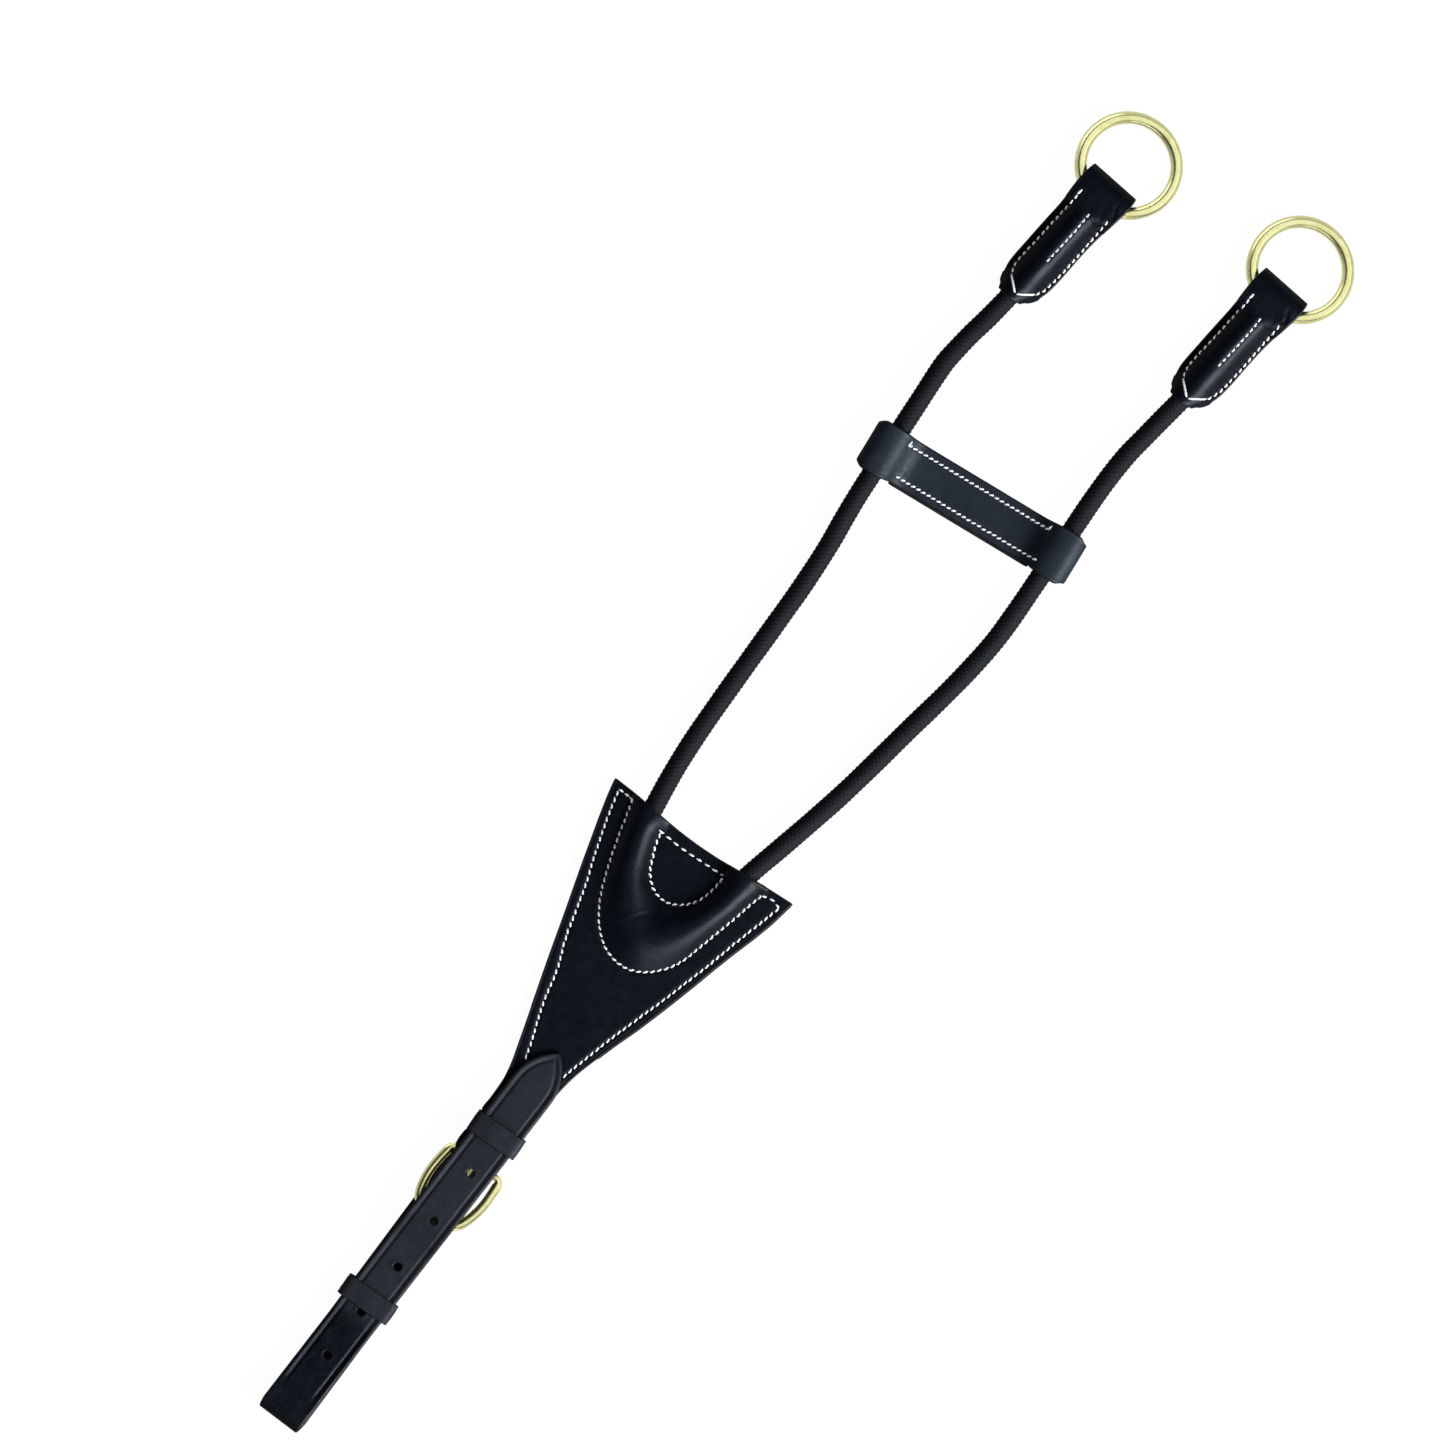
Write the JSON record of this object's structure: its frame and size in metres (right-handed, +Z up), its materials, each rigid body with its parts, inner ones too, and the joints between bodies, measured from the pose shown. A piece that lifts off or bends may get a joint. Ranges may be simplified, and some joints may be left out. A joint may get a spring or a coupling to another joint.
{
  "type": "martingale attachment",
  "caption": "Running martingale fork: black leather yoke with a round elastic cord, sliding bridge, end tabs with brass rings, and a buckled strap with keepers",
  "frame": {"origin": "middle of the footprint, on the table the attachment lies on", "axes": "+Y runs along the attachment from the folded strap loop towards the rings; +Z is up, out of the face; +X is to the right looking down on the face"},
  "size_m": [0.1295, 0.6676, 0.0145],
  "materials": {
    "yoke_leather": "black finished leather, semi-gloss",
    "strap_leather": "black finished strap leather, semi-gloss",
    "cord_sleeve": "black ribbed braid, matt",
    "cord_rubber": "natural rubber",
    "brass": "polished cast brass"
  },
  "bodies": {
    "yoke": {"yoke_front_panel": "yoke_leather", "yoke_back_panel": "yoke_leather", "cord_loop_sleeve": "cord_sleeve", "cord_loop_rubber_core": "cord_rubber"},
    "cord_lines": {"left_cord_line_sleeve": "cord_sleeve", "left_cord_line_rubber_core": "cord_rubber", "right_cord_line_sleeve": "cord_sleeve", "right_cord_line_rubber_core": "cord_rubber"},
    "bridge": {"bridge_band": "strap_leather", "bridge_back_strip": "strap_leather"},
    "left_end": {"left_cord_end_sleeve": "cord_sleeve", "left_cord_end_rubber_core": "cord_rubber", "left_end_tab": "yoke_leather"},
    "right_end": {"right_cord_end_sleeve": "cord_sleeve", "right_cord_end_rubber_core": "cord_rubber", "right_end_tab": "yoke_leather"},
    "left_ring": {"left_ring": "brass"},
    "right_ring": {"right_ring": "brass"},
    "strap": {"strap": "strap_leather", "front_panel_chape": "yoke_leather", "fixed_keeper": "strap_leather"},
    "running_keeper": {"running_keeper": "strap_leather"},
    "buckle": {"buckle_frame": "brass"},
    "tongue": {"buckle_tongue": "brass"}
  },
  "joints": [
    {"name": "strap_flex", "type": "hinge", "parent": "yoke", "child": "strap", "pos_m": [0, -0.13246, 0.0025], "axis": [1, 0, 0], "range_deg": [-40, 40]},
    {"name": "cord_flex", "type": "hinge", "parent": "yoke", "child": "cord_lines", "pos_m": [0, -0.01046, 0.00505], "axis": [1, 0, 0], "range_deg": [-60, 60]},
    {"name": "bridge_slide", "type": "slide", "parent": "cord_lines", "child": "bridge", "axis": [-0.0847, 0.9964, 0], "range_m": [-0.012, 0.012]},
    {"name": "left_end_flex", "type": "hinge", "parent": "cord_lines", "child": "left_end", "pos_m": [-0.05, 0.19954, 0.0053], "axis": [1, 0, 0], "range_deg": [-70, 70]},
    {"name": "right_end_flex", "type": "hinge", "parent": "cord_lines", "child": "right_end", "pos_m": [0.033, 0.21004, 0.0053], "axis": [1, 0, 0], "range_deg": [-70, 70]},
    {"name": "left_ring_swing", "type": "hinge", "parent": "left_end", "child": "left_ring", "pos_m": [-0.04195, 0.28244, 0.007], "axis": [1, 0, 0], "range_deg": [-120, 150]},
    {"name": "right_ring_swing", "type": "hinge", "parent": "right_end", "child": "right_ring", "pos_m": [0.04165, 0.29294, 0.007], "axis": [1, 0, 0], "range_deg": [-120, 150]},
    {"name": "keeper_slide", "type": "slide", "parent": "strap", "child": "running_keeper", "axis": [-0.022, 0.9998, 0], "range_m": [-0.018, 0.016]},
    {"name": "buckle_tilt", "type": "hinge", "parent": "strap", "child": "buckle", "pos_m": [0.0043, -0.19776, 0.00765], "axis": [1, 0, 0], "range_deg": [-0.9, 1]},
    {"name": "tongue_swing", "type": "hinge", "parent": "buckle", "child": "tongue", "pos_m": [0.0043, -0.19776, 0.00765], "axis": [1, 0, 0], "range_deg": [-0.7, 0]}
  ]
}
